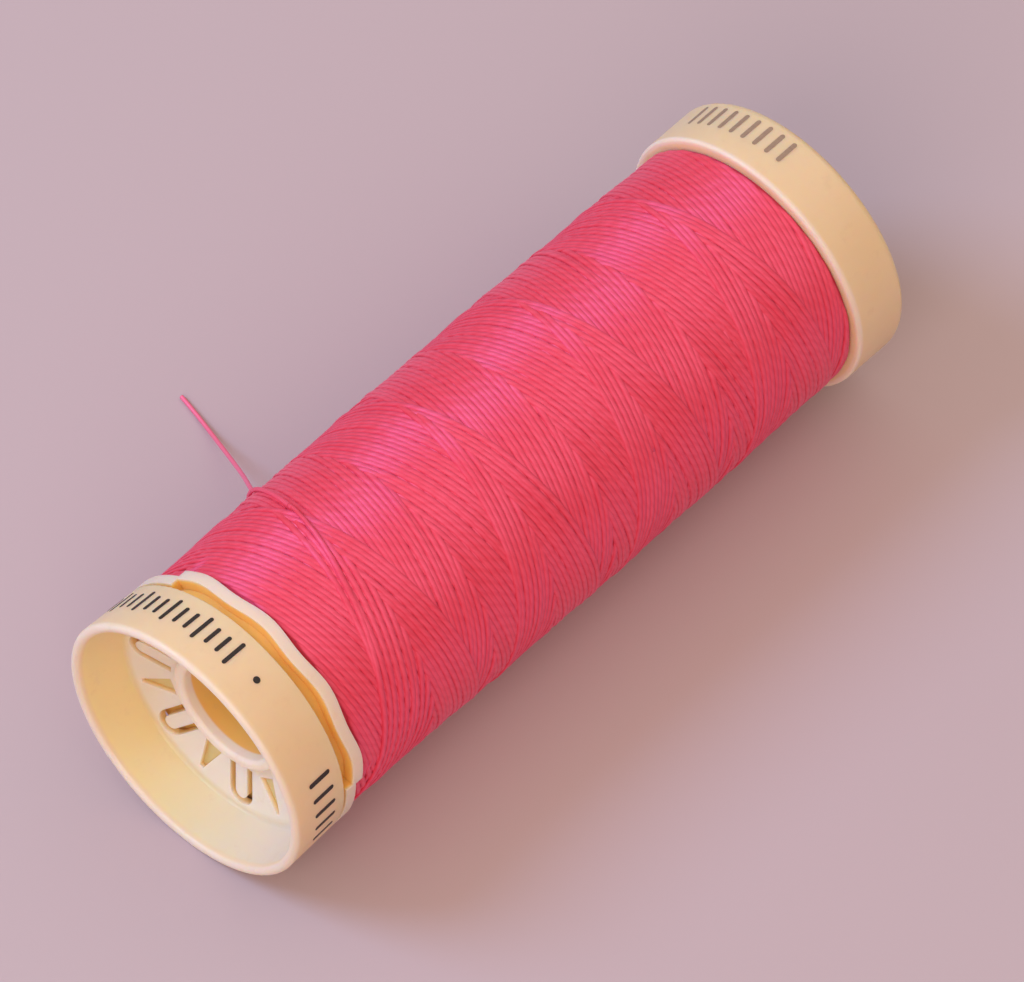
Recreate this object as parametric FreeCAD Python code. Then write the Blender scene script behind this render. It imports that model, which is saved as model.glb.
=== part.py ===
import FreeCAD, Part
import math
import os

# A small reel of sewing thread lying on its side. Millimetres.
# X runs along the reel's axis, from the lock cap (low X) to the fixed end (high X).
# The origin is on the surface under the reel, at the middle of its length. +Z is up.
# "Depth" below is the distance along the axis from the lock cap's lip.
# "Angle" is measured around the axis from straight up, towards +Y.

# Driving dimensions
reel_length = 58.05
end_radius = 10.0
pin_bore_radius = 3.7
core_radius = 7.2
core_wall = 1.0
hub_wall = 0.85
slide_clearance = 0.06
cap_travel = 1.5
thread_radius = 9.6
thread_diameter = 0.3
groove_width = 0.87

# Rounds shared by both plastic parts
fine_round = 0.1
soft_round = 0.2
full_round = 0.3

# Turned surfaces start this far round from the top
seam_angle = 1.875

# Lock cap
cap_length = 4.65
cap_taper = 0.2
lip_wall = 0.66
lip_round = 0.32
recess_back_radius = 8.76
recess_depth = 3.72
ring_back_wall = 0.9
web_slope = 0.83
web_thickness = 0.6
boss_height = 0.7
bead_length = 0.7
bead_height = 0.24
stop_gap = 0.1
tongue_count = 7
tongue_first_angle = 35.2
tongue_width = 1.0
tongue_end = 7.85
tongue_overlap = 1.0
slot_width = 0.5
slot_start = 5.2
wedge_floor = 0.25
wedge_root_width = 1.4
wedge_tip_width = 0.3
wedge_root = 5.4
wedge_tip = 8.0

# Wavy flange, which faces the cap's back edge across the thread groove
flange_radius = 9.8
flange_thickness = 0.85
low_gap = 0.2
groove_floor_radius = 8.95
raised_sector_angle = 124.0
raised_sector_centre = -28.0
wave_angle = 33.5
wave_height = 0.13
wave_points = 49
sector_overlap = 0.5

# Barrel
core_start = 5.0
collar_start = 6.65
collar_length = 2.0
far_ring_length = 4.5
far_ring_wall = 1.3
far_web_thickness = 0.8
far_edge_round = 0.6
far_hub_length = 6.0
far_boss_height = 0.3

# Thread winding
winding_gap = 0.1
winding_clearance = 0.02
winding_near_drop = 0.15
winding_far_drop = 0.25

# Free end of the thread: it rides over the winding, then drops to the surface
tail_ride_radius = 9.8
tail_ride_angles = (20, 32, 44, 56, 68, 80)
tail_ride_depths = (13.95, 14.45, 14.9, 15.4, 15.85, 16.35)
tail_drop = (
    (18.0, 10.5, 9.2),
    (19.3, 11.8, 7.35),
    (20.67, 13.9, 5.6),
    (22.11, 15.8, 3.5),
    (23.65, 18.65, 1.6),
    (24.85, 21.35, 0.4),
    (25.55, 23.6, 0.16),
    (25.85, 25.0, 0.16),
)
bend_share = 0.45

# Derived places
axis_height = end_radius
hub_radius = pin_bore_radius + hub_wall
cap_back_radius = end_radius - cap_taper
collar_end = collar_start + collar_length
bead_start = collar_end + cap_travel + stop_gap
stem_end = bead_start + bead_length
tube_radius = core_radius - core_wall
flange_root = core_radius - core_wall / 2
low_sector_half = (180 - raised_sector_angle) / 2
flange_front = cap_length + groove_width
low_front = cap_length + low_gap
winding_start = flange_front + flange_thickness + wave_height + winding_gap
winding_near_radius = thread_radius - winding_near_drop
winding_far_radius = thread_radius - winding_far_drop
far_face = reel_length - far_ring_length
far_web_back = far_face + far_web_thickness
far_hub_end = far_web_back + far_boss_height
axis_base = FreeCAD.Vector(0, 0, axis_height)
along = FreeCAD.Vector(1, 0, 0)


def at(depth, radius, angle=0.0):
    """The point at this depth, radius and angle around the reel's axis."""
    turn = math.radians(angle)
    return FreeCAD.Vector(
        depth - reel_length / 2,
        radius * math.sin(turn),
        axis_height + radius * math.cos(turn),
    )


def rounded_outline(corners):
    """A closed wire through (depth, radius, round) corners, each with its own round."""
    points = [at(depth, radius) for depth, radius, _ in corners]
    edges = []
    ends = []
    for i, (_, _, size) in enumerate(corners):
        here = points[i]
        before = (points[i - 1] - here).normalize()
        after = (points[(i + 1) % len(points)] - here).normalize()
        if size == 0:
            ends.append((here, here))
            continue
        half = before.getAngle(after) / 2
        reach = size / math.tan(half)
        start = here + before * reach
        end = here + after * reach
        inward = (before + after).normalize()
        middle = here + inward * (size / math.sin(half) - size)
        ends.append((start, end))
        edges.append(Part.Arc(start, middle, end).toShape())
    for i in range(len(ends)):
        start = ends[i - 1][1]
        end = ends[i][0]
        edges.append(Part.makeLine(start, end))
    return Part.Wire(Part.__sortEdges__(edges))


def turned(corners):
    """The solid turned about the reel's axis from an outline of corners."""
    face = Part.Face(rounded_outline(corners))
    solid = face.revolve(axis_base, along, 360)
    solid.rotate(axis_base, along, -seam_angle)
    return solid


def arc_at(depth, radius, first_angle, last_angle):
    """An arc about the reel's axis between two angles."""
    middle_angle = (first_angle + last_angle) / 2
    angles = (first_angle, middle_angle, last_angle)
    return Part.Arc(*[at(depth, radius, angle) for angle in angles]).toShape()


def sector(start, end, inner, outer, first_angle, last_angle):
    """A block between two depths, two radii and two angles around the axis."""
    edges = [
        arc_at(start, outer, first_angle, last_angle),
        Part.makeLine(at(start, outer, last_angle), at(start, inner, last_angle)),
        arc_at(start, inner, last_angle, first_angle),
        Part.makeLine(at(start, inner, first_angle), at(start, outer, first_angle)),
    ]
    return Part.Face(Part.Wire(edges)).extrude(FreeCAD.Vector(end - start, 0, 0))


def web_front(radius):
    """Depth of the cap's sloping web at a radius."""
    share = (recess_back_radius - radius) / (recess_back_radius - hub_radius)
    return recess_depth + web_slope * share


def make_cap_body():
    """Ring, sloping web, hub and stem of the lock cap, turned in one piece."""
    bead_radius = hub_radius + bead_height
    boss_front = web_front(hub_radius) - boss_height
    ring_back = end_radius - ring_back_wall
    return turned(
        [
            (0.0, end_radius, lip_round),
            (cap_length, cap_back_radius, fine_round),
            (cap_length, ring_back, fine_round),
            (web_front(ring_back) + web_thickness, ring_back, fine_round),
            (web_front(hub_radius) + web_thickness, hub_radius, fine_round),
            (bead_start, hub_radius, 0),
            (bead_start + bead_height, bead_radius, fine_round),
            (stem_end, bead_radius, soft_round),
            (stem_end, pin_bore_radius, soft_round),
            (boss_front, pin_bore_radius, full_round),
            (boss_front, hub_radius, full_round),
            (web_front(hub_radius), hub_radius, fine_round),
            (recess_depth, recess_back_radius, full_round),
            (0.0, end_radius - lip_wall, lip_round),
        ]
    )


def slab(points, start, end, angle):
    """A prism along the axis from an outline of (across, outward) points."""
    wire = Part.makePolygon([FreeCAD.Vector(0, a, r) for a, r in points + points[:1]])
    solid = Part.Face(wire).extrude(FreeCAD.Vector(end - start, 0, 0))
    solid.translate(at(start, 0))
    solid.rotate(axis_base, along, -angle)
    return solid


def round_end(width, start, end):
    """The (across, outward) outline of a strip whose outer end is a half round."""
    half = width / 2
    steps = 12
    points = [(-half, start)]
    for i in range(steps + 1):
        turn = math.pi * i / steps
        points.append((-half * math.cos(turn), end - half + half * math.sin(turn)))
    points.append((half, start))
    return points


def make_tongue_slot(angle):
    """The U-shaped slot that frees one tongue, which stays rooted at the hub."""
    full_width = tongue_width + 2 * slot_width
    outer = round_end(full_width, slot_start, tongue_end + slot_width)
    inner = round_end(tongue_width, slot_start - tongue_overlap, tongue_end)
    slot = slab(outer, lip_wall, cap_length + web_thickness, angle)
    return slot.cut(slab(inner, lip_wall, cap_length + web_thickness, angle))


def make_wedge_pocket(angle):
    """The tapering pocket between two tongues, before its floor is left in place."""
    outline = [
        (-wedge_root_width / 2, wedge_root),
        (wedge_root_width / 2, wedge_root),
        (wedge_tip_width / 2, wedge_tip),
        (-wedge_tip_width / 2, wedge_tip),
    ]
    return slab(outline, lip_wall, cap_length + web_thickness, angle)


def make_pocket_floor():
    """The back layer of the web, which closes the wedge pockets."""
    cover = web_thickness - wedge_floor
    outer = recess_back_radius
    return turned(
        [
            (web_front(outer) + cover, outer, 0),
            (web_front(hub_radius) + cover, hub_radius, 0),
            (stem_end, hub_radius, 0),
            (stem_end, outer, 0),
        ]
    )


def make_lock_cap():
    cap = make_cap_body()
    pitch = 360 / tongue_count
    slots = []
    pockets = []
    for i in range(tongue_count):
        angle = tongue_first_angle + i * pitch
        slots.append(make_tongue_slot(angle))
        pockets.append(make_wedge_pocket(angle + pitch / 2))
    pockets = Part.makeCompound(pockets).cut(make_pocket_floor())
    return cap.cut(Part.makeCompound(slots)).cut(pockets)


def wave_offset(angle):
    """How far a raised sector's rim stands from its mean depth, this far from its middle."""
    return -wave_height * math.cos(2 * math.pi * angle / wave_angle)


def make_raised_sector(centre):
    """One raised sector of the flange: flat at the core, with a waving rim."""
    first = centre - raised_sector_angle / 2
    rim = []
    for i in range(wave_points):
        angle = first + raised_sector_angle * i / (wave_points - 1)
        offset = wave_offset(angle - centre)
        rim.append(at(flange_front + offset, flange_radius, angle))
    rim_curve = Part.BSplineCurve()
    rim_curve.interpolate(rim)
    root_arc = arc_at(flange_front, flange_root, first, first + raised_sector_angle)
    front = Part.makeRuledSurface(root_arc, rim_curve.toShape())
    return front.extrude(FreeCAD.Vector(flange_thickness, 0, 0))


def make_low_flange():
    """The inner disc, the thread groove's floor, and the flange between its raised sectors."""
    half = low_sector_half + sector_overlap
    end = low_front + flange_thickness
    disc = Part.makeCylinder(groove_floor_radius, flange_thickness, at(low_front, 0), along)
    hole = Part.makeCylinder(flange_root, flange_thickness, at(low_front, 0), along)
    blocks = [disc.cut(hole)]
    for turn in (90, 270):
        middle = raised_sector_centre + turn
        blocks.append(sector(low_front, end, flange_root, flange_radius, middle - half, middle + half))
    return blocks


def make_barrel_body():
    """Core tube, guide collar, fixed end ring, web and hub, turned in one piece."""
    collar_radius = hub_radius + slide_clearance
    hub_start = far_hub_end - far_hub_length
    return turned(
        [
            (core_start, core_radius, 0),
            (far_face, core_radius, 0),
            (far_face, end_radius, soft_round),
            (reel_length, end_radius, far_edge_round),
            (reel_length, end_radius - far_ring_wall, full_round),
            (far_web_back, recess_back_radius, full_round),
            (far_web_back, hub_radius, fine_round),
            (far_hub_end, hub_radius, fine_round),
            (far_hub_end, pin_bore_radius, full_round),
            (hub_start, pin_bore_radius, soft_round),
            (hub_start, hub_radius, soft_round),
            (far_face, hub_radius, full_round),
            (far_face, tube_radius, full_round),
            (collar_end, tube_radius, 0),
            (collar_end, collar_radius, fine_round),
            (collar_start, collar_radius, full_round),
            (collar_start, tube_radius, 0),
            (core_start, tube_radius, fine_round),
        ]
    )


def make_barrel():
    pieces = [make_raised_sector(raised_sector_centre + turn) for turn in (0, 180)]
    return make_barrel_body().multiFuse(pieces + make_low_flange()).removeSplitter()


def make_winding():
    """The wound thread as one plain body, which fills both low parts of the flange."""
    inner = core_radius + winding_clearance
    end = far_face - winding_clearance
    middle = at((winding_start + end) / 2, thread_radius)
    near = at(winding_start, winding_near_radius)
    far = at(end, winding_far_radius)
    outer_edge = Part.Arc(near, middle, far).toShape()
    edges = [
        outer_edge,
        Part.makeLine(far, at(end, inner)),
        Part.makeLine(at(end, inner), at(winding_start, inner)),
        Part.makeLine(at(winding_start, inner), near),
    ]
    body = Part.Face(Part.Wire(edges)).revolve(axis_base, along, 360)
    start = low_front + flange_thickness + winding_clearance
    side_gap = math.degrees(winding_gap / core_radius)
    half = low_sector_half - sector_overlap - side_gap
    for turn in (90, 270):
        angle = raised_sector_centre + turn
        fill = sector(start, winding_start, inner, winding_near_radius, angle - half, angle + half)
        body = body.fuse(fill)
    return body.removeSplitter()


def tail_route():
    """The free end's route: over the winding, down behind it, then along the surface."""
    ride = zip(tail_ride_depths, tail_ride_angles)
    points = [at(depth, tail_ride_radius, angle) for depth, angle in ride]
    for depth, across, height in tail_drop:
        points.append(FreeCAD.Vector(depth - reel_length / 2, across, height))
    return points


def bent_path(points):
    """Straight runs joined by tangent arcs, each arc as large as its runs allow."""
    edges = []
    radii = []
    start = points[0]
    for before, here, after in zip(points, points[1:], points[2:]):
        back = (before - here).normalize()
        ahead = (after - here).normalize()
        turn = math.pi - back.getAngle(ahead)
        reach = bend_share * min(before.distanceToPoint(here), here.distanceToPoint(after))
        radius = reach / math.tan(turn / 2)
        inward = (back + ahead).normalize()
        middle = here + inward * (radius / math.cos(turn / 2) - radius)
        edges.append(Part.makeLine(start, here + back * reach))
        edges.append(Part.Arc(here + back * reach, middle, here + ahead * reach).toShape())
        start = here + ahead * reach
        radii.append(radius)
    edges.append(Part.makeLine(start, points[-1]))
    return Part.Wire(edges), radii


def make_tail():
    path, radii = bent_path(tail_route())
    start = path.Edges[0]
    direction = start.tangentAt(start.FirstParameter)
    section = Part.Circle(path.Edges[0].Vertexes[0].Point, direction, thread_diameter / 2)
    tube = path.makePipeShell([Part.Wire(section.toShape())], True, False)
    area = math.pi * thread_diameter**2 / 4
    print("tail bend radii", [round(radius, 2) for radius in radii])
    print("tail length", round(path.Length, 2), "volume share", round(tube.Volume / area / path.Length, 4))
    return tube


def main():
    os.makedirs("parts", exist_ok=True)
    nodes = {
        "barrel": make_barrel(),
        "lock_cap": make_lock_cap(),
        "thread_winding": make_winding(),
        "thread_tail": make_tail(),
    }
    for name, shape in nodes.items():
        shape.Solids[0].exportStep(f"parts/{name}.step")
        print(name, "solids", len(shape.Solids), "valid", shape.isValid())


main()
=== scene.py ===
import math

import bpy
import numpy as np
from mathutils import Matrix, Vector


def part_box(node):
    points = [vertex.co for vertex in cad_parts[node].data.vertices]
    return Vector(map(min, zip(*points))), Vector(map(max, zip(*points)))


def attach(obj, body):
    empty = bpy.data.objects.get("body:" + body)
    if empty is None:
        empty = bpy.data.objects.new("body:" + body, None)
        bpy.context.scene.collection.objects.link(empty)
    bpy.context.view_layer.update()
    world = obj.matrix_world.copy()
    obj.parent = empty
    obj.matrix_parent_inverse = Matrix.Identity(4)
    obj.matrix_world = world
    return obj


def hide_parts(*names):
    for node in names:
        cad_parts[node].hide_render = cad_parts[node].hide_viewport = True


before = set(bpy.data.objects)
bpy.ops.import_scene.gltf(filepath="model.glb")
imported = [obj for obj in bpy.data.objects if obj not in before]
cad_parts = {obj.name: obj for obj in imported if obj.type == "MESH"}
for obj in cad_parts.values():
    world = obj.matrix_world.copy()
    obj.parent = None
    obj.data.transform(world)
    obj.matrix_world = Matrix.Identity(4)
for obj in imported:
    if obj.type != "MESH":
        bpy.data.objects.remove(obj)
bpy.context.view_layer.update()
rng = np.random.default_rng(7)

# A small reel of pink sewing thread on its side, with ivory plastic ends and a loose end behind.
# Everything below the unit line is in millimetres. "Depth" runs along the reel's axis from the
# cap's lip, and an angle goes round the axis from straight up, towards +Y, in degrees.
MM = 0.001
cap_low, cap_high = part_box("lock_cap")
barrel_low, barrel_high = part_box("barrel")
LIP = cap_low.x / MM
AXIS = (cap_low.z + cap_high.z) / 2 / MM
END_RADIUS = (barrel_high.z - barrel_low.z) / 2 / MM

# Camera
AZIMUTH = -47.32
ELEVATION = 53.07
DISTANCE = 775.66
AIM = (0.455, -1.34, 10.0)
LENS = 421.9

# Winding: one thread laid to and fro along the reel while it turns. The turning points, the
# crossing that shows on top and the lead fix where every pass runs. Each pass starts with some
# extra turn, used up by EASE_DEPTH, so that it goes on from the pass before it.
LEAD = 11.4
STRAND_PITCH = 0.385
NEAR_TURN = 6.85
FAR_TURN = 53.27
FAR_MIRROR = 53.35
CROSS_DEPTH = 24.85
CROSS_ANGLE = 27.0
TURN_DWELL = 6.0
EASE_DEPTH = 13.65
PASSES = 64
SHOWN_PASSES = 34
ROUNDING = 20
OVERRUN = 0.06
WANDER = ((150, 0.045), (36, 0.02))
STILL_STEPS = 80

# The last strand, in degrees past the last pass and in depth, up to where the loose end begins
LOOSE_ANGLES = (24.0, 62.0, 89.0, 104.0, 119.0, 144.0, 148.0)
LOOSE_DEPTHS = (8.15, 9.65, 11.15, 11.9, 12.75, 13.95, 14.18)

# How the thread is laid: STEP is in degrees, and CELL is the height map's cell along the reel
STEP = 0.5
CELL = 0.04
MAP_START = 5.25
HALF_WIDTH = 0.185
HALF_HEIGHT = 0.14
SINK = 0.1

# The strands that show, in half widths and half heights, and how far they settle
SHOWN_WIDTH = 0.24
SHOWN_HEIGHT = 0.12
SETTLING = 0.36
SETTLED_MOST = 0.17
STRAND_SIDES = 8
STRAND_GROUPS = 6
STRAND_SPACING = 5
UNEVEN = 0.012
UNEVEN_STEPS = 90
PLIES = 2.0
PLY_LENGTH = 1.1

# Where the last strand rises to the loose end's radius and takes on its thickness
LIFT_STEPS = 90
TAIL_RADIUS = 9.8
END_SHARE = 0.95

# The winding's body and the flange it starts at
CROWN = 30.05
CROWN_RADIUS = 9.6
NEAR_DROP = 0.15
FAR_DROP = 0.25
CORE_RADIUS = 7.25
CORE_SPOKES = 240
CORE_STATIONS = 60
UNDER = 0.22
WINDING_END = 53.53
RAISED_START = 6.6
LOW_START = 5.72
RAISED_CENTRES = (-28.0, 152.0)
RAISED_HALF = 62.0
SECTOR_RAMP = 2.0
LOW_REACH = 0.75
LOW_BEND_DEPTH = 8.65
LOW_BEND_LENGTH = 1.6

# Lock cap: its taper, and the line that its sloping web's front follows
CAP_TAPER = 0.2
CAP_LENGTH = 4.65
WEB_SLOPE = 0.197
WEB_AT_AXIS = 5.447

# Printed marks on both rings
INK_PROUD = 0.014
INK_EMBEDDED = 0.03
MARK_SIDES = 16
CAP_ROW_DEPTH = 2.85
CAP_ROW_ANGLES = np.arange(-12, 62, 5.4)
CAP_ROW_WIDTH = 0.3
CAP_SIDE_DEPTH = 2.8
CAP_SIDE_ANGLES = (-72, -80, -88, -96, -104)
CAP_SIDE_WIDTH = 0.36
FAR_ROW_DEPTH = 56.3
FAR_ROW_ANGLES = np.arange(-5, 44, 6)
FAR_ROW_WIDTH = 0.34
SHORT_STROKE = 1.5
LONG_STROKE = 2.1
SIDE_STROKE = 1.9
DOT = (2.7, -25.0, 0.5, 0.5)

# Studio light
SKY_LOW = 0.2
SKY_HIGH = 0.9
SKY_RISE = 0.9
LIGHT_AIM = (0, 0, 0.008)

# The loose end's route, as its solid has it, from the winding to the surface
TAIL_ROUTE = (
    (-15.075, 3.352, 19.209),
    (-14.575, 5.193, 18.311),
    (-14.125, 6.808, 17.050),
    (-13.625, 8.125, 15.480),
    (-13.175, 9.086, 13.671),
    (-12.675, 9.651, 11.702),
    (-11.025, 10.500, 9.200),
    (-9.725, 11.800, 7.350),
    (-8.355, 13.900, 5.600),
    (-6.915, 15.800, 3.500),
    (-5.375, 18.650, 1.600),
    (-4.175, 21.350, 0.400),
    (-3.475, 23.600, 0.160),
    (-3.175, 25.000, 0.160),
)
THREAD_DIAMETER = 0.3


# ---------------------------------------------------------------- helpers
def link(obj):
    bpy.context.scene.collection.objects.link(obj)
    return obj


def place(depth, radius, angle):
    """Row-frame points in metres for arrays or numbers of depth, radius and angle."""
    turn = np.radians(angle)
    x = depth + LIP
    y = radius * np.sin(turn)
    z = AXIS + radius * np.cos(turn)
    return np.stack(np.broadcast_arrays(x, y, z), -1) * MM


def smooth_step(t):
    """0 to 1 for a share of 0 to 1, level at both ends."""
    return t * t * (3 - 2 * t)


def mesh_piece(name, points, faces, smooth=True):
    """A linked mesh object from points in metres."""
    mesh = bpy.data.meshes.new(name)
    mesh.from_pydata(np.asarray(points).reshape(-1, 3).tolist(), [], faces)
    mesh.polygons.foreach_set("use_smooth", [smooth] * len(mesh.polygons))
    mesh.update()
    return link(bpy.data.objects.new(name, mesh))


# ---------------------------------------------------------------- camera
def make_camera():
    data = bpy.data.cameras.new("camera")
    data.sensor_width = 36
    data.lens = LENS
    data.clip_start = 0.02
    camera = link(bpy.data.objects.new("camera", data))
    a, e = math.radians(AZIMUTH), math.radians(ELEVATION)
    back = Vector((math.sin(a) * math.cos(e), -math.cos(a) * math.cos(e), math.sin(e)))
    camera.location = Vector(AIM) * MM + back * DISTANCE * MM
    camera.rotation_mode = "QUATERNION"
    camera.rotation_quaternion = (-back).to_track_quat("-Z", "Y")
    bpy.context.scene.camera = camera


# ---------------------------------------------------------------- materials
class Nodes:
    """Short calls for building one node material."""

    def __init__(self, name):
        self.material = bpy.data.materials.new(name)
        self.material.use_nodes = True
        self.tree = self.material.node_tree
        self.shader = self.tree.nodes["Principled BSDF"]

    def add(self, kind, **values):
        node = self.tree.nodes.new(kind)
        for key, value in values.items():
            if hasattr(node, key):
                setattr(node, key, value)
            else:
                self.set(node, key, value)
        return node

    def set(self, node, key, value):
        numbered = key[0] == "i" and key[1:].isdigit()
        socket = node.inputs[int(key[1:]) if numbered else key]
        if isinstance(value, bpy.types.NodeSocket):
            self.tree.links.new(value, socket)
        else:
            socket.default_value = value

    def noise(self, vector, scale, detail=3.0, rough=0.5):
        node = self.add("ShaderNodeTexNoise", Vector=vector, Scale=scale, Detail=detail)
        self.set(node, "Roughness", rough)
        return node.outputs["Fac"]

    def math(self, kind, a, b=0.0, c=0.0):
        return self.add("ShaderNodeMath", operation=kind, i0=a, i1=b, i2=c).outputs[0]

    def remap(self, value, low, high, to_low=0.0, to_high=1.0):
        node = self.add("ShaderNodeMapRange", i0=value, i1=low, i2=high, i3=to_low, i4=to_high)
        return node.outputs[0]

    def mix(self, factor, a, b):
        node = self.add("ShaderNodeMix", data_type="RGBA")
        self.set(node, "i0", factor)
        self.set(node, "i6", a)
        self.set(node, "i7", b)
        return node.outputs[2]

    def bump(self, height, strength, distance):
        node = self.add("ShaderNodeBump", Height=height, Strength=strength, Distance=distance)
        return node.outputs[0]

    def finish(self, **values):
        for key, value in values.items():
            self.set(self.shader, key.replace("_", " "), value)
        return self.material


def rgb(r, g, b):
    """A colour given as screen values 0-255, as linear RGBA."""
    def lin(v):
        v /= 255
        return v / 12.92 if v <= 0.04045 else ((v + 0.055) / 1.055) ** 2.4
    return (lin(r), lin(g), lin(b), 1.0)


def band(n, value, low, high, soft):
    """1 where a value lies between two limits, with a soft edge."""
    rise = n.remap(value, low - soft, low)
    fall = n.remap(value, high + soft, high)
    return n.math("MULTIPLY", rise, fall)


def plastic_material(name):
    """Translucent ivory moulding, with light and shade painted into its colour: paler rims and lips
    as painted reflection, a paler web and bore as painted light, and golden painted shade in the
    gap under the cap ring, in the pockets and on the cup's wall.
    """
    n = Nodes(name)
    coords = n.add("ShaderNodeTexCoord").outputs["Object"]
    x, y, z = n.add("ShaderNodeSeparateXYZ", Vector=coords).outputs
    depth = n.math("MULTIPLY_ADD", x, 1 / MM, -LIP)
    height = n.math("MULTIPLY_ADD", z, 1 / MM, -AXIS)
    across = n.math("MULTIPLY", y, 1 / MM)
    squares = n.math("ADD", n.math("MULTIPLY", across, across), n.math("MULTIPLY", height, height))
    radius = n.math("SQRT", squares)
    outside = n.remap(radius, 9.55, 9.7)
    inside = n.math("SUBTRACT", 1.0, outside)

    # Each zone is a mask by depth and radius, in millimetres, over a slightly cloudy ivory. Apart
    # from the grime, each zone paints light or shade into the colour.
    cloud = n.noise(coords, 180.0, 4.0, 0.6)
    fine = n.noise(coords, 2600.0, 3.0, 0.6)
    grime = n.remap(n.noise(coords, 700.0, 5.0, 0.7), 0.58, 0.8, 0.0, 0.3)
    colour = n.mix(cloud, rgb(238, 213, 178), rgb(231, 202, 163))
    # Cup wall inside the ring: painted light, a golden glow towards +Y and paler towards -Y.
    wall = n.math("MULTIPLY", band(n, depth, 0.6, 3.6, 0.3), inside)
    painted_wall_light = n.mix(n.remap(across, 6.0, -6.0), rgb(240, 220, 162), rgb(226, 218, 206))
    colour = n.mix(n.math("MULTIPLY", wall, 0.8), colour, painted_wall_light)
    # Bore: paler, painted light inside the hole.
    bore = n.math("MULTIPLY", n.remap(radius, 4.1, 3.75), n.remap(depth, 3.9, 4.3))
    colour = n.mix(n.math("MULTIPLY", bore, 0.9), colour, rgb(255, 240, 226))
    # Gap between the cap ring and the wavy flange: painted shade, the orange glow of shade in
    # translucent plastic.
    painted_groove_shade = n.math("MULTIPLY", band(n, depth, 4.68, 6.0, 0.1), inside)
    colour = n.mix(painted_groove_shade, colour, rgb(255, 196, 108))
    # Lip, flange rim and the far ring's edge: paler, a painted reflection on the rounded edges.
    lip = n.remap(depth, 0.5, 0.12)
    rim = n.math("MULTIPLY", band(n, depth, 4.9, 6.9, 0.1), n.remap(radius, 9.66, 9.76))
    web_front = n.math("MULTIPLY_ADD", radius, -WEB_SLOPE, WEB_AT_AXIS)
    into_web = n.math("SUBTRACT", depth, web_front)
    # Web and hub face: paler, painted light on the face of the web.
    web = n.math("MULTIPLY", band(n, depth, 3.5, 4.62, 0.15), n.remap(radius, 8.7, 8.2))
    far_edge = n.math("MULTIPLY", band(n, depth, 53.4, 53.8, 0.15), outside)
    colour = n.mix(n.math("MULTIPLY", web, 0.85), colour, rgb(244, 226, 216))
    # Paler rounded edges: painted reflection.
    pale = n.math("MAXIMUM", n.math("MAXIMUM", lip, rim), far_edge)
    colour = n.mix(n.math("MULTIPLY", pale, 0.75), colour, rgb(238, 216, 208))
    # Pockets in the web: painted shade, a golden glow in their hollows.
    pocket = n.math("MULTIPLY", n.remap(into_web, 0.06, 0.3), n.remap(radius, 8.7, 8.3))
    round_hub = n.math("MULTIPLY", n.remap(radius, 4.6, 5.0), n.remap(depth, 4.75, 4.6))
    pocket = n.math("MULTIPLY", pocket, round_hub)
    colour = n.mix(n.math("MULTIPLY", pocket, 0.8), colour, rgb(240, 194, 112))
    colour = n.mix(grime, colour, rgb(214, 182, 150))

    rough = n.remap(n.noise(coords, 900.0, 4.0, 0.65), 0.3, 0.7, 0.34, 0.5)
    bumps = n.math("ADD", n.math("MULTIPLY", cloud, 0.6), n.math("MULTIPLY", fine, 0.12))
    return n.finish(
        Base_Color=colour,
        Roughness=rough,
        Normal=n.bump(bumps, 0.25, 0.00008),
        Subsurface_Weight=0.7,
        Subsurface_Radius=(1.0, 0.6, 0.28),
        Subsurface_Scale=0.0016,
        IOR=1.49,
    )


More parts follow.
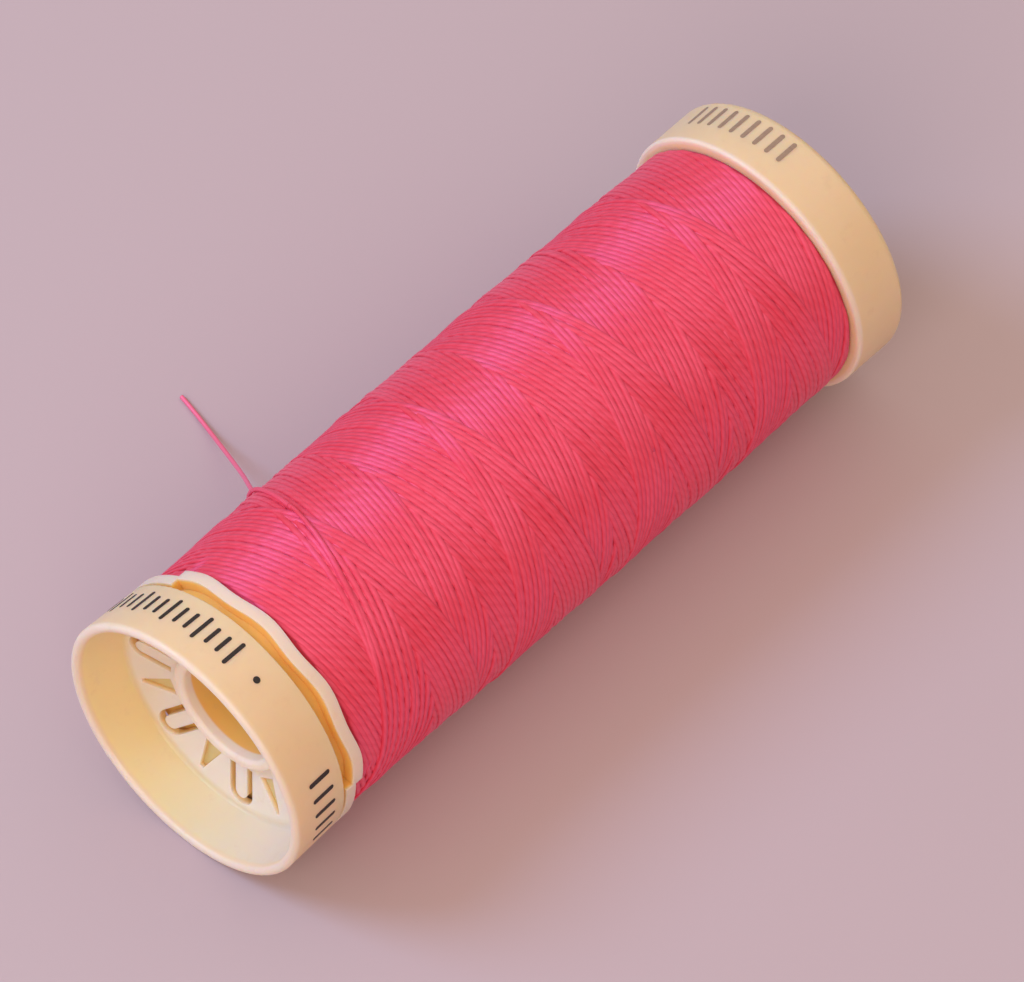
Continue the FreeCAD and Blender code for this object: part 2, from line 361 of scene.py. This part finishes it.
def thread_material(name, light, dark, uv, faded=None):
    """Spun thread: plies and fibres along a strand's UV map, or else plain fibres, which may
    fade to another colour behind the reel."""
    n = Nodes(name)
    if uv:
        strand = n.add("ShaderNodeUVMap", uv_map="strand").outputs[0]
        along, around, _ = n.add("ShaderNodeSeparateXYZ", Vector=strand).outputs
        twist = n.math("MULTIPLY", along, 1 / PLY_LENGTH)
        turns = n.math("ADD", twist, n.math("MULTIPLY", around, PLIES))
        ply = n.math("SINE", n.math("MULTIPLY", turns, 2 * math.pi))
        stretched = n.math("MULTIPLY", along, 1.2)
        fibre_place = n.add("ShaderNodeCombineXYZ", X=stretched, Y=n.math("MULTIPLY", turns, 9.0))
        fibre = n.noise(fibre_place.outputs[0], 3.0, 3.0, 0.7)
        slow = n.add("ShaderNodeCombineXYZ", X=n.math("MULTIPLY", along, 0.15))
        tone = n.noise(slow.outputs[0], 1.0, 2.0)
        ply_share = n.remap(ply, -1.0, 0.2)
        sideways = n.math("ABSOLUTE", n.math("COSINE", n.math("MULTIPLY", around, 2 * math.pi)))
        side = n.remap(sideways, 0.45, 0.95)
        tangent = n.add("ShaderNodeTangent", direction_type="UV_MAP", uv_map="strand").outputs[0]
        n.finish(Anisotropic=0.9, Anisotropic_Rotation=0.25, Tangent=tangent)
    else:
        coords = n.add("ShaderNodeTexCoord").outputs["Object"]
        fibre = n.noise(coords, 5000.0, 4.0, 0.7)
        tone = n.noise(coords, 300.0, 2.0)
        ply = fibre
        ply_share = fibre
        side = 0.0
    colour = n.mix(n.remap(tone, 0.3, 0.7), light, dark)
    if faded:
        across = n.add("ShaderNodeSeparateXYZ", Vector=coords).outputs[1]
        colour = n.mix(n.remap(across, 8.5 * MM, 14 * MM), colour, faded)
    colour = n.mix(n.remap(fibre, 0.35, 0.8, 0.0, 0.3), colour, rgb(247, 96, 118))
    # Ply hollows: deeper red, painted shade between the plies; without a UV map the same painted
    # shade follows the fibre noise.
    painted_groove_shade = n.math("MULTIPLY", n.math("SUBTRACT", 1.0, ply_share), 0.3)
    colour = n.mix(painted_groove_shade, colour, rgb(222, 40, 50))
    # Strand sides: deeper red, painted shade where each strand turns away into the seams.
    colour = n.mix(n.math("MULTIPLY", side, 0.5), colour, rgb(206, 20, 28))
    height = n.math("ADD", n.math("MULTIPLY", ply, 0.5), n.math("MULTIPLY", fibre, 0.6))
    return n.finish(
        Base_Color=colour,
        Roughness=n.math("MULTIPLY_ADD", side, 0.25, 0.48),
        Normal=n.bump(height, 0.4, 0.00003),
        Sheen_Weight=0.12,
        Sheen_Roughness=0.5,
        Sheen_Tint=rgb(228, 160, 255),
        IOR=1.7,
        Specular_IOR_Level=1.0,
        Specular_Tint=rgb(240, 170, 240),
    )


def ink_material(name, colour, worn):
    """Printed ink with a slightly uneven cover."""
    n = Nodes(name)
    coords = n.add("ShaderNodeTexCoord").outputs["Object"]
    cover = n.remap(n.noise(coords, 5000.0, 4.0, 0.7), 0.35, 0.75, 0.0, 0.5)
    return n.finish(Base_Color=n.mix(cover, colour, worn), Roughness=0.5)


def floor_material():
    """The plain pale surface under the reel."""
    n = Nodes("studio_floor")
    return n.finish(Base_Color=rgb(195, 176, 184), Roughness=0.9, Specular_IOR_Level=0.2)


# ---------------------------------------------------------------- loose end
def make_tail(material):
    """The loose end: a smooth NURBS line through the route, with the thread's round section."""
    curve = bpy.data.curves.new("thread_end", "CURVE")
    curve.dimensions = "3D"
    spline = curve.splines.new("NURBS")
    spline.points.add(len(TAIL_ROUTE) - 1)
    for point, place_mm in zip(spline.points, TAIL_ROUTE):
        point.co = (*[v * MM for v in place_mm], 1.0)
    spline.order_u = 3
    spline.use_endpoint_u = True
    spline.resolution_u = 16
    curve.bevel_depth = THREAD_DIAMETER / 2 * MM
    curve.bevel_resolution = 3
    curve.use_fill_caps = True
    curve.materials.append(material)
    tail = link(bpy.data.objects.new("thread_end", curve))
    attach(tail, "reel")
    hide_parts("thread_tail")


# ---------------------------------------------------------------- winding
def crown_radius(depth):
    """The wound thread's outer radius: a little lower towards both ends."""
    share = (depth - CROWN) / (CROWN - RAISED_START)
    drop = np.where(share < 0, NEAR_DROP, FAR_DROP)
    return CROWN_RADIUS - drop * share**2


def low_share(angle):
    """1 in the flange's low sectors, 0 in its raised ones, with a short ramp between."""
    off = np.minimum.reduce([np.abs((angle - c + 180) % 360 - 180) for c in RAISED_CENTRES])
    return np.clip((off - RAISED_HALF) / SECTOR_RAMP, 0, 1)


def smooth_noise(length, spacing, size):
    """Random values of this size at every so many steps, eased from one to the next."""
    knots = rng.normal(0, size, length // spacing + 4)
    place_at = np.arange(length) / spacing
    first = place_at.astype(int)
    t = smooth_step(place_at - first)
    return knots[first] * (1 - t) + knots[first + 1] * t


def pass_angles():
    """The turned angle and the depth at points along every pass, ending with the last strand."""
    rate = 360 / LEAD
    advance = 360 * STRAND_PITCH / LEAD
    newest = CROSS_ANGLE - rate * CROSS_DEPTH
    ease = (2 * rate * (FAR_MIRROR - NEAR_TURN) - advance + TURN_DWELL) % 360
    depths = np.arange(NEAR_TURN, FAR_TURN + 0.01, 0.1)
    extra = ease * np.clip((EASE_DEPTH - depths) / (EASE_DEPTH - NEAR_TURN), 0, 1)
    angles, places = [], []
    last = None
    for n in range(PASSES):
        phase = newest - (PASSES - 1 - n) * advance
        out = rate * depths + phase + extra
        home = -rate * depths[::-1] + 2 * rate * FAR_MIRROR + phase
        if last is not None:
            turns = round((last - out[0]) / 360)
            out, home = out + 360 * turns, home + 360 * turns
        angles += [out, home]
        places += [depths, depths[::-1]]
        last = home[-1]
    angles.append(last + np.array(LOOSE_ANGLES))
    places.append(LOOSE_DEPTHS)
    return np.concatenate(angles), np.concatenate(places)


def wind_path():
    """The turn in steps and the thread's depth there, over all passes, rounded and uneven."""
    angles, places = pass_angles()
    first = math.ceil(angles[0] / STEP)
    steps = np.arange(first, math.floor(angles[-1] / STEP))
    depth = np.interp(steps * STEP, angles, places)
    window = np.hanning(2 * ROUNDING + 1)
    padded = np.pad(depth, ROUNDING, mode="edge")
    depth = np.convolve(padded, window / window.sum(), mode="valid")
    wander = sum(smooth_noise(len(depth), spacing, size) for spacing, size in WANDER)
    wander[-STILL_STEPS:] *= np.linspace(1, 0, STILL_STEPS)
    depth = np.clip(depth + wander, NEAR_TURN - OVERRUN, FAR_TURN + OVERRUN)
    near = np.clip((LOW_BEND_DEPTH - depth) / LOW_BEND_LENGTH, 0, 1)
    depth = depth - LOW_REACH * near * low_share(steps * STEP)
    return steps, depth


def lay_thread(steps, depth):
    """The thread's radius along its way. It is laid in order, and each turn rests on what was
    laid before it, as a taut soft strand does."""
    round_cells = round(360 / STEP)
    surface = np.zeros((round_cells, int((WINDING_END + 1 - MAP_START) / CELL)))
    column = np.rint((depth - MAP_START) / CELL).astype(int)
    row = steps % round_cells
    touch = np.arange(-2, 3)
    cover = np.arange(-4, 5)
    touch_rise = HALF_HEIGHT * np.sqrt(1 - (touch * CELL / HALF_WIDTH) ** 2)
    cover_rise = HALF_HEIGHT * np.sqrt(1 - (cover * CELL / HALF_WIDTH) ** 2)
    total = len(depth)
    # The strand spans half_span steps each way over what lies under it. It is laid a chunk at a
    # time, and the surface is read this far ahead of the chunk.
    ahead = 24
    half_span = 8
    chunk = 120
    high_share = 0.55
    mean_share = 0.45
    soft = np.hanning(23)[1:-1]
    soft /= soft.sum()
    side = len(soft) // 2 + half_span
    rest = np.zeros(total + 2 * ahead)
    radius = np.zeros(total)

    def find_rest(a, b):
        rows, columns = row[a:b, None], column[a:b, None]
        rest[a + ahead:b + ahead] = (surface[rows, columns + touch] + touch_rise).max(1)

    find_rest(0, ahead)
    rest[:ahead] = rest[ahead]
    for start in range(0, total, chunk):
        end = min(start + chunk, total)
        if end > start + ahead or start == 0:
            find_rest(min(start + ahead, end), min(end + ahead, total))
        if end + ahead > total:
            rest[total + ahead:] = rest[total + ahead - 1]
        span = rest[start + ahead - side:end + ahead + side]
        tops = np.lib.stride_tricks.sliding_window_view(span, 2 * half_span + 1)
        high = np.convolve(tops.max(1), soft, mode="valid")
        mean = np.convolve(tops.mean(1), soft, mode="valid")
        centre = high_share * high + mean_share * mean - SINK
        radius[start:end] = centre
        for offset, rise in zip(cover, cover_rise):
            cells = (row[start:end], column[start:end] + offset)
            surface[cells] = np.maximum(surface[cells], centre + rise)
    return radius


def usual_radius(depth, angle, radius):
    """The radius that strands usually lie at, by depth, in the flange's raised and low sectors."""
    low = low_share(angle)
    stations = np.arange(6, 54, 0.5)
    half_window = 0.4
    usual = 75
    levels = []
    for sector in (low < 0.5, low >= 0.5):
        reached = []
        for station in stations:
            near = sector & (np.abs(depth - station) < half_window)
            reached.append(np.percentile(radius[near], usual) if near.any() else np.nan)
        reached = np.array(reached)
        known = np.isfinite(reached)
        levels.append(np.interp(depth, stations[known], reached[known]))
    return levels[0] * (1 - low) + levels[1] * low


def settle(steps, depth, radius, begin):
    """Radius, half width and half height of the strands, the last one ending as the loose end."""
    shown = slice(begin, len(steps))
    angle = steps * STEP
    above = np.zeros(len(steps))
    above[shown] = radius[shown] - usual_radius(depth[shown], angle[shown], radius[shown])
    pressed = SETTLED_MOST * np.tanh(SETTLING * above / SETTLED_MOST)
    settled = crown_radius(depth) - SHOWN_HEIGHT + pressed
    settled += smooth_noise(len(steps), UNEVEN_STEPS, UNEVEN)
    lift = smooth_step(np.linspace(0, 1, LIFT_STEPS))
    end_half = END_SHARE * THREAD_DIAMETER / 2
    half_width = np.full(len(steps), SHOWN_WIDTH)
    half_height = np.full(len(steps), SHOWN_HEIGHT)
    for values, end in ((settled, TAIL_RADIUS), (half_width, end_half), (half_height, end_half)):
        values[-LIFT_STEPS:] += (end - values[-LIFT_STEPS:]) * lift
    return settled, half_width, half_height


def strand_rings(depth, radius, angle, half_width, half_height):
    """Centres along a strand, and the ring of points round each."""
    around = np.arange(STRAND_SIDES) * 2 * math.pi / STRAND_SIDES
    centres = place(depth, radius, angle)
    tangent = np.gradient(centres, axis=0)
    tangent /= np.linalg.norm(tangent, axis=1)[:, None]
    outward = place(depth, radius + 1, angle) - centres
    outward /= np.linalg.norm(outward, axis=1)[:, None]
    across = np.cross(outward, tangent)
    across /= np.linalg.norm(across, axis=1)[:, None]
    sideways = (half_width[:, None] * np.cos(around) * MM)[:, :, None]
    upward = (half_height[:, None] * np.sin(around) * MM)[:, :, None]
    return centres, centres[:, None] + across[:, None] * sideways + outward[:, None] * upward


def strand_piece(name, centres, rings, material):
    """One stretch of round strand, whose UV map holds the length along it and the way round."""
    count, sides = len(centres), STRAND_SIDES
    i, j = np.meshgrid(np.arange(count - 1), np.arange(sides), indexing="ij")
    k = (j + 1) % sides
    below, above = i * sides, (i + 1) * sides
    quads = np.stack([below + j, below + k, above + k, above + j], -1)
    faces = quads.reshape(-1, 4).tolist()
    faces.append(list(range(sides))[::-1])
    faces.append([(count - 1) * sides + s for s in range(sides)])
    piece = mesh_piece(name, rings, faces)
    runs = np.linalg.norm(np.diff(centres, axis=0), axis=1)
    length = np.concatenate([[0], np.cumsum(runs)]) / MM
    u = np.stack([length[i], length[i], length[i + 1], length[i + 1]], -1)
    v = np.stack([j, j + 1, j + 1, j], -1) / sides
    top_of_strand = 0.25
    end_faces = np.full(4 * sides, top_of_strand)
    uv = np.concatenate([np.stack([u, v], -1).reshape(-1), end_faces])
    layer = piece.data.uv_layers.new(name="strand")
    layer.data.foreach_set("uv", uv.astype(np.float32))
    piece.data.materials.append(material)
    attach(piece, "reel")


def make_strands(steps, depth, radius, material):
    """The last passes as round strands, in several pieces of one continuous thread."""
    pass_steps = round(2 * 360 / LEAD * (FAR_MIRROR - NEAR_TURN) / STEP)
    begin = len(steps) - SHOWN_PASSES * pass_steps
    settled, half_width, half_height = settle(steps, depth, radius, begin)
    angle = steps * STEP
    cuts = np.linspace(begin, len(steps) - 1, STRAND_GROUPS + 1).astype(int)
    for g in range(STRAND_GROUPS):
        picked = np.arange(cuts[g], cuts[g + 1] + 1, STRAND_SPACING)
        if picked[-1] != cuts[g + 1]:
            picked = np.append(picked, cuts[g + 1])
        values = (depth, settled, angle, half_width, half_height)
        centres, rings = strand_rings(*[value[picked] for value in values])
        strand_piece(f"thread_wound_{g + 1}", centres, rings, material)


def make_core_winding(material):
    """The thread under the strands that show, as one body round the core."""
    spokes = CORE_SPOKES
    angle = np.arange(spokes) * 360 / spokes
    start = RAISED_START - (RAISED_START - LOW_START) * low_share(angle)
    rings = [place(start, CORE_RADIUS, angle)]
    for share in np.linspace(0, 1, CORE_STATIONS):
        d = start + (WINDING_END - start) * share
        rings.append(place(d, crown_radius(d) - UNDER, angle))
    rings.append(place(np.full(spokes, WINDING_END), CORE_RADIUS, angle))
    count = len(rings)
    i, j = np.meshgrid(np.arange(count), np.arange(spokes), indexing="ij")
    k, m = (j + 1) % spokes, (i + 1) % count
    quads = np.stack([i * spokes + j, i * spokes + k, m * spokes + k, m * spokes + j], -1)
    piece = mesh_piece("thread_core_layers", np.stack(rings), quads.reshape(-1, 4).tolist())
    piece.data.materials.append(material)
    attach(piece, "reel")
    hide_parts("thread_winding")


# ---------------------------------------------------------------- printed marks
def make_marks(name, body, strokes, radius_at, material):
    """Plain printed strokes as thin ink on a ring: each is (depth, angle, length, width)."""
    points, faces = [], []
    sides = MARK_SIDES
    turn = np.arange(sides) * 2 * math.pi / sides + math.pi / sides
    for depth, angle, length, width in strokes:
        half = width / 2
        straight = np.where(np.sin(turn) > 0, 1, -1) * (length / 2 - half)
        d = depth + straight + half * np.sin(turn)
        arc = half * np.cos(turn)
        for lift in (INK_PROUD, -INK_EMBEDDED):
            points.append(place(d, radius_at(d) + lift, angle + np.degrees(arc / END_RADIUS)))
        top = 2 * sides * (len(points) // 2 - 1)
        under = top + sides
        faces.append([top + i for i in range(sides)])
        faces.append([under + i for i in range(sides)][::-1])
        for i in range(sides):
            j = (i + 1) % sides
            faces.append([top + j, top + i, under + i, under + j])
    piece = mesh_piece(name, np.concatenate(points), faces, False)
    piece.data.materials.append(material)
    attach(piece, body)


def cap_radius(depth):
    """The cap ring's outer radius, which its taper makes smaller towards the winding."""
    return END_RADIUS - CAP_TAPER * depth / CAP_LENGTH


def far_radius(depth):
    """The fixed end ring's outer radius, the same at every depth."""
    return np.full_like(depth, END_RADIUS)


def make_all_marks():
    """A row, a dot and a short side row on the cap, and a grey row on the fixed end ring."""
    black = ink_material("print_black", rgb(30, 24, 28), rgb(70, 55, 50))
    grey = ink_material("print_grey", rgb(150, 124, 108), rgb(190, 160, 134))
    row = []
    for i, angle in enumerate(CAP_ROW_ANGLES):
        stroke = SHORT_STROKE if i % 3 else LONG_STROKE
        row.append((CAP_ROW_DEPTH, angle, stroke, CAP_ROW_WIDTH))
    row.append(DOT)
    for angle in CAP_SIDE_ANGLES:
        row.append((CAP_SIDE_DEPTH, angle, SIDE_STROKE, CAP_SIDE_WIDTH))
    make_marks("cap_print", "cap", row, cap_radius, black)
    far = [(FAR_ROW_DEPTH, angle, SIDE_STROKE, FAR_ROW_WIDTH) for angle in FAR_ROW_ANGLES]
    make_marks("far_ring_print", "reel", far, far_radius, grey)


# ---------------------------------------------------------------- studio
def area_light(name, direction, distance, size, power, colour):
    """A round soft lamp, this far away and turned to the reel; metres and watts."""
    data = bpy.data.lights.new(name, "AREA")
    data.shape = "DISK"
    data.size = size
    data.energy = power
    data.color = colour
    light = link(bpy.data.objects.new(name, data))
    toward = Vector(direction).normalized()
    light.location = Vector(LIGHT_AIM) + toward * distance
    light.rotation_mode = "QUATERNION"
    light.rotation_quaternion = toward.to_track_quat("Z", "Y")


def make_floor():
    corners = [(-2, -2, 0), (2, -2, 0), (2, 2, 0), (-2, 2, 0)]
    floor = mesh_piece("floor", corners, [(0, 1, 2, 3)], False)
    floor.data.materials.append(floor_material())


def make_studio():
    """Floor, a warm sky that is brighter overhead, a cool window light and a warm fill."""
    make_floor()
    world = bpy.data.worlds.new("studio")
    world.use_nodes = True
    tree = world.node_tree
    background = tree.nodes["Background"]
    direction = tree.nodes.new("ShaderNodeTexCoord").outputs["Generated"]
    split = tree.nodes.new("ShaderNodeSeparateXYZ")
    tree.links.new(direction, split.inputs[0])
    height = tree.nodes.new("ShaderNodeMapRange")
    for i, value in enumerate((0.0, SKY_RISE, SKY_LOW, SKY_HIGH)):
        height.inputs[i + 1].default_value = value
    tree.links.new(split.outputs[2], height.inputs[0])
    tree.links.new(height.outputs[0], background.inputs[1])
    background.inputs[0].default_value = (1.0, 0.83, 0.68, 1)
    bpy.context.scene.world = world
    area_light("key", direction=(-0.48, 0.54, 0.7), distance=0.6, size=0.26, power=1.9,
               colour=(0.4, 0.64, 1.0))
    area_light("fill", direction=(-0.9, -0.5, 0.7), distance=0.7, size=0.5, power=1.9,
               colour=(1.0, 0.83, 0.7))
    bpy.context.scene.view_settings.view_transform = "Standard"


make_camera()
thread = thread_material("thread_strand", rgb(246, 80, 100), rgb(236, 64, 82), uv=True)
loose = thread_material("thread_loose", rgb(247, 84, 106), rgb(240, 70, 90), uv=False,
                        faded=rgb(250, 122, 152))
make_tail(loose)
make_studio()

# Thread under the shown strands: a deeper red copy of the thread's colour, painted shade in the
# seams between strands.
under = thread_material("thread_under_shaded", rgb(232, 44, 60), rgb(222, 36, 50), uv=False)
make_core_winding(under)
steps, depth = wind_path()
radius = lay_thread(steps, depth)
make_strands(steps, depth, radius, thread)
make_all_marks()

plastic = plastic_material("ivory_plastic")
for node in ("barrel", "lock_cap"):
    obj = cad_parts[node]
    obj.data.materials.clear()
    obj.data.materials.append(plastic)
